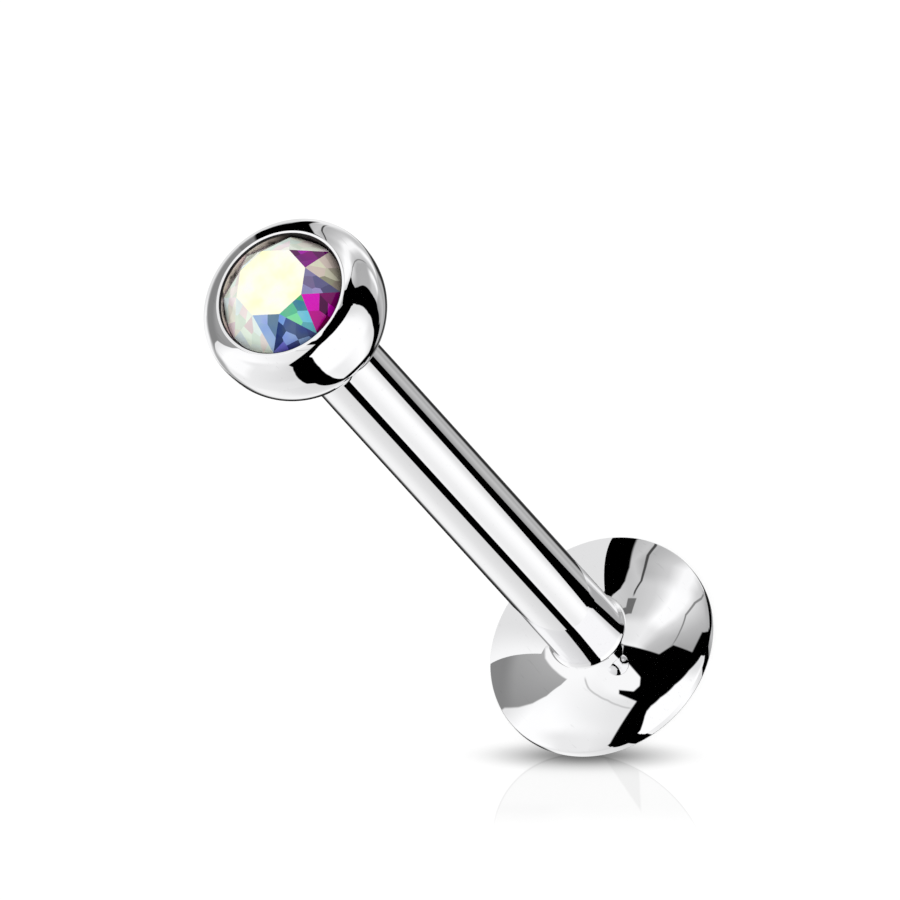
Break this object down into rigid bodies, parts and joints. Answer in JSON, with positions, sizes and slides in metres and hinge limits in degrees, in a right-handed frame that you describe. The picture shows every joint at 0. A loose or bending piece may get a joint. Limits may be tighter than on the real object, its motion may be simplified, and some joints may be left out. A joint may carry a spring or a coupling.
{
  "type": "labret stud",
  "caption": "Push-fit labret stud: hollow post on a domed disc, with a bezel-set faceted crystal in a flattened ball on a bent pin.",
  "frame": {"origin": "centre of the disc's flat back, on the post's axis", "axes": "+Z along the post, from the disc to the stone; +X towards the side that the pin bows to"},
  "size_m": [0.0038, 0.0038, 0.0135],
  "materials": {
    "polished_steel": "mirror-polished stainless steel",
    "drawn_wire": "drawn and tumbled stainless wire",
    "aurora_crystal": "faceted clear crystal with an iridescent coating"
  },
  "bodies": {
    "post": {"post_and_disc": "polished_steel"},
    "top": {"ball_setting": "polished_steel", "bent_pin": "drawn_wire", "crystal": "aurora_crystal"}
  },
  "joints": [
    {"name": "top_pull", "type": "slide", "parent": "post", "child": "top", "axis": [0, 0, 1], "range_m": [0, 0.0068]}
  ]
}
